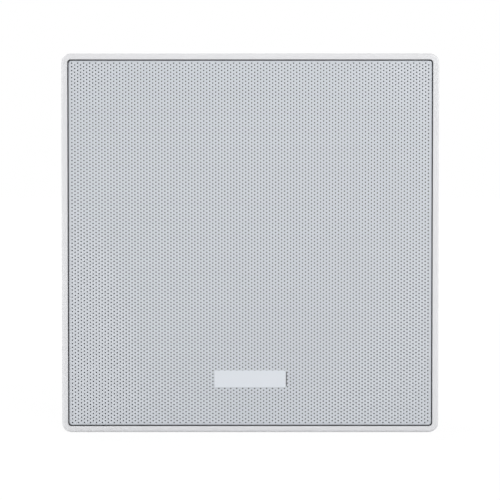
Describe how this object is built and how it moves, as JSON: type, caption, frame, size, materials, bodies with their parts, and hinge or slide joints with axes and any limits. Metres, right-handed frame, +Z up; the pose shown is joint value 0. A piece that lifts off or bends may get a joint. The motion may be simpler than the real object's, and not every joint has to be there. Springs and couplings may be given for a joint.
{
  "type": "loudspeaker",
  "caption": "Compact square passive two-way loudspeaker with a flush perforated metal grille in a thin white rim, closed cabinet, rear spring terminals and wall fixings.",
  "frame": {"origin": "centre of the bounding box in X and Y, on the cabinet's underside", "axes": "+X to the viewer's right seen from the front, +Y from the grille towards the wall, +Z up"},
  "size_m": [0.216, 0.118, 0.217],
  "materials": {
    "white_shell": "satin moulded",
    "grille_steel": "satin powder coat",
    "badge_plate": "satin",
    "black_cloth": "open weave",
    "black_seal": "matt",
    "white_metal_zinc": "zinc plated",
    "black_screw": "black oxide",
    "brass_insert": "turned",
    "basket_steel": "matt black stove enamel",
    "black_trim": "fine texture",
    "surround_rubber": "matt",
    "cone_paper": "pressed, dyed",
    "spider_cloth": "resin treated",
    "former_film": "rolled",
    "copper_wire": "enamelled",
    "plated_steel": "zinc plated",
    "ferrite": "ground",
    "nickel_magnet": "nickel plated",
    "phenolic": "laminate",
    "tinned_tag": "tinned",
    "dome_silk": "coated",
    "circuit_board": "lacquered",
    "bobbin_plastic": "moulded",
    "film_can": "dipped",
    "resistor_body": "cemented",
    "cup_plastic": "fine texture",
    "red_lever": "moulded",
    "black_lever": "moulded",
    "wadding": "fluffy",
    "red_sleeve": "smooth",
    "black_sleeve": "smooth"
  },
  "bodies": {
    "cabinet": {"front_frame": "white_shell", "rear_cabinet": "white_shell", "cabinet_gasket": "black_seal", "cabinet_screws": "white_metal_zinc", "threaded_inserts": "brass_insert", "grille": "grille_steel", "grille_cloth": "black_cloth", "grille_seal": "black_seal", "badge": "badge_plate", "woofer_basket": "basket_steel", "woofer_seat_gasket": "black_seal", "woofer_trim_ring": "black_trim", "woofer_surround": "surround_rubber", "woofer_spider": "spider_cloth", "woofer_top_plate": "plated_steel", "woofer_magnet": "ferrite", "woofer_yoke": "plated_steel", "woofer_tag_strip": "phenolic", "woofer_tags": "tinned_tag", "woofer_screws": "black_screw", "tweeter_faceplate": "black_trim", "tweeter_gasket": "black_seal", "tweeter_dome": "dome_silk", "tweeter_pot": "plated_steel", "tweeter_magnet": "nickel_magnet", "tweeter_pole_plate": "plated_steel", "tweeter_tag_strip": "phenolic", "tweeter_tags": "tinned_tag", "tweeter_screws": "black_screw", "crossover_board": "circuit_board", "bass_coil_bobbin": "bobbin_plastic", "bass_coil_winding": "copper_wire", "treble_coil_bobbin": "bobbin_plastic", "treble_coil_winding": "copper_wire", "capacitors": "film_can", "resistor": "resistor_body", "board_screws": "white_metal_zinc", "terminal_cup": "cup_plastic", "terminal_gasket": "black_seal", "terminal_screws": "white_metal_zinc", "contact_strips": "tinned_tag", "damping_mat_top": "wadding", "damping_mat_bottom": "wadding", "damping_mat_left": "wadding", "damping_mat_right": "wadding", "input_wire_red": "red_sleeve", "input_wire_black": "black_sleeve", "woofer_wire_red": "red_sleeve", "woofer_wire_black": "black_sleeve", "tweeter_wire_red": "red_sleeve", "tweeter_wire_black": "black_sleeve"},
    "woofer_cone": {"woofer_cone": "cone_paper", "woofer_dust_cap": "cone_paper", "woofer_coil_former": "former_film", "woofer_voice_coil": "copper_wire"},
    "tweeter_coil": {"tweeter_coil_former": "former_film", "tweeter_voice_coil": "copper_wire"},
    "lever_red": {"lever_red": "red_lever"},
    "lever_black": {"lever_black": "black_lever"}
  },
  "joints": [
    {"name": "woofer_excursion", "type": "slide", "parent": "cabinet", "child": "woofer_cone", "axis": [0, 1, 0], "range_m": [-0.003, 0.003], "stiffness_N_per_m": 900, "deforming": ["woofer_surround", "woofer_spider"]},
    {"name": "tweeter_excursion", "type": "slide", "parent": "cabinet", "child": "tweeter_coil", "axis": [0, 1, 0], "range_m": [-0.0003, 0.0003], "stiffness_N_per_m": 1500, "deforming": ["tweeter_dome"]},
    {"name": "lever_red_press", "type": "hinge", "parent": "cabinet", "child": "lever_red", "pos_m": [0.011, 0.043, 0.066], "axis": [1, 0, 0], "range_deg": [-15, 0], "stiffness_Nm_per_rad": 0.05},
    {"name": "lever_black_press", "type": "hinge", "parent": "cabinet", "child": "lever_black", "pos_m": [-0.011, 0.043, 0.066], "axis": [1, 0, 0], "range_deg": [-15, 0], "stiffness_Nm_per_rad": 0.05}
  ]
}
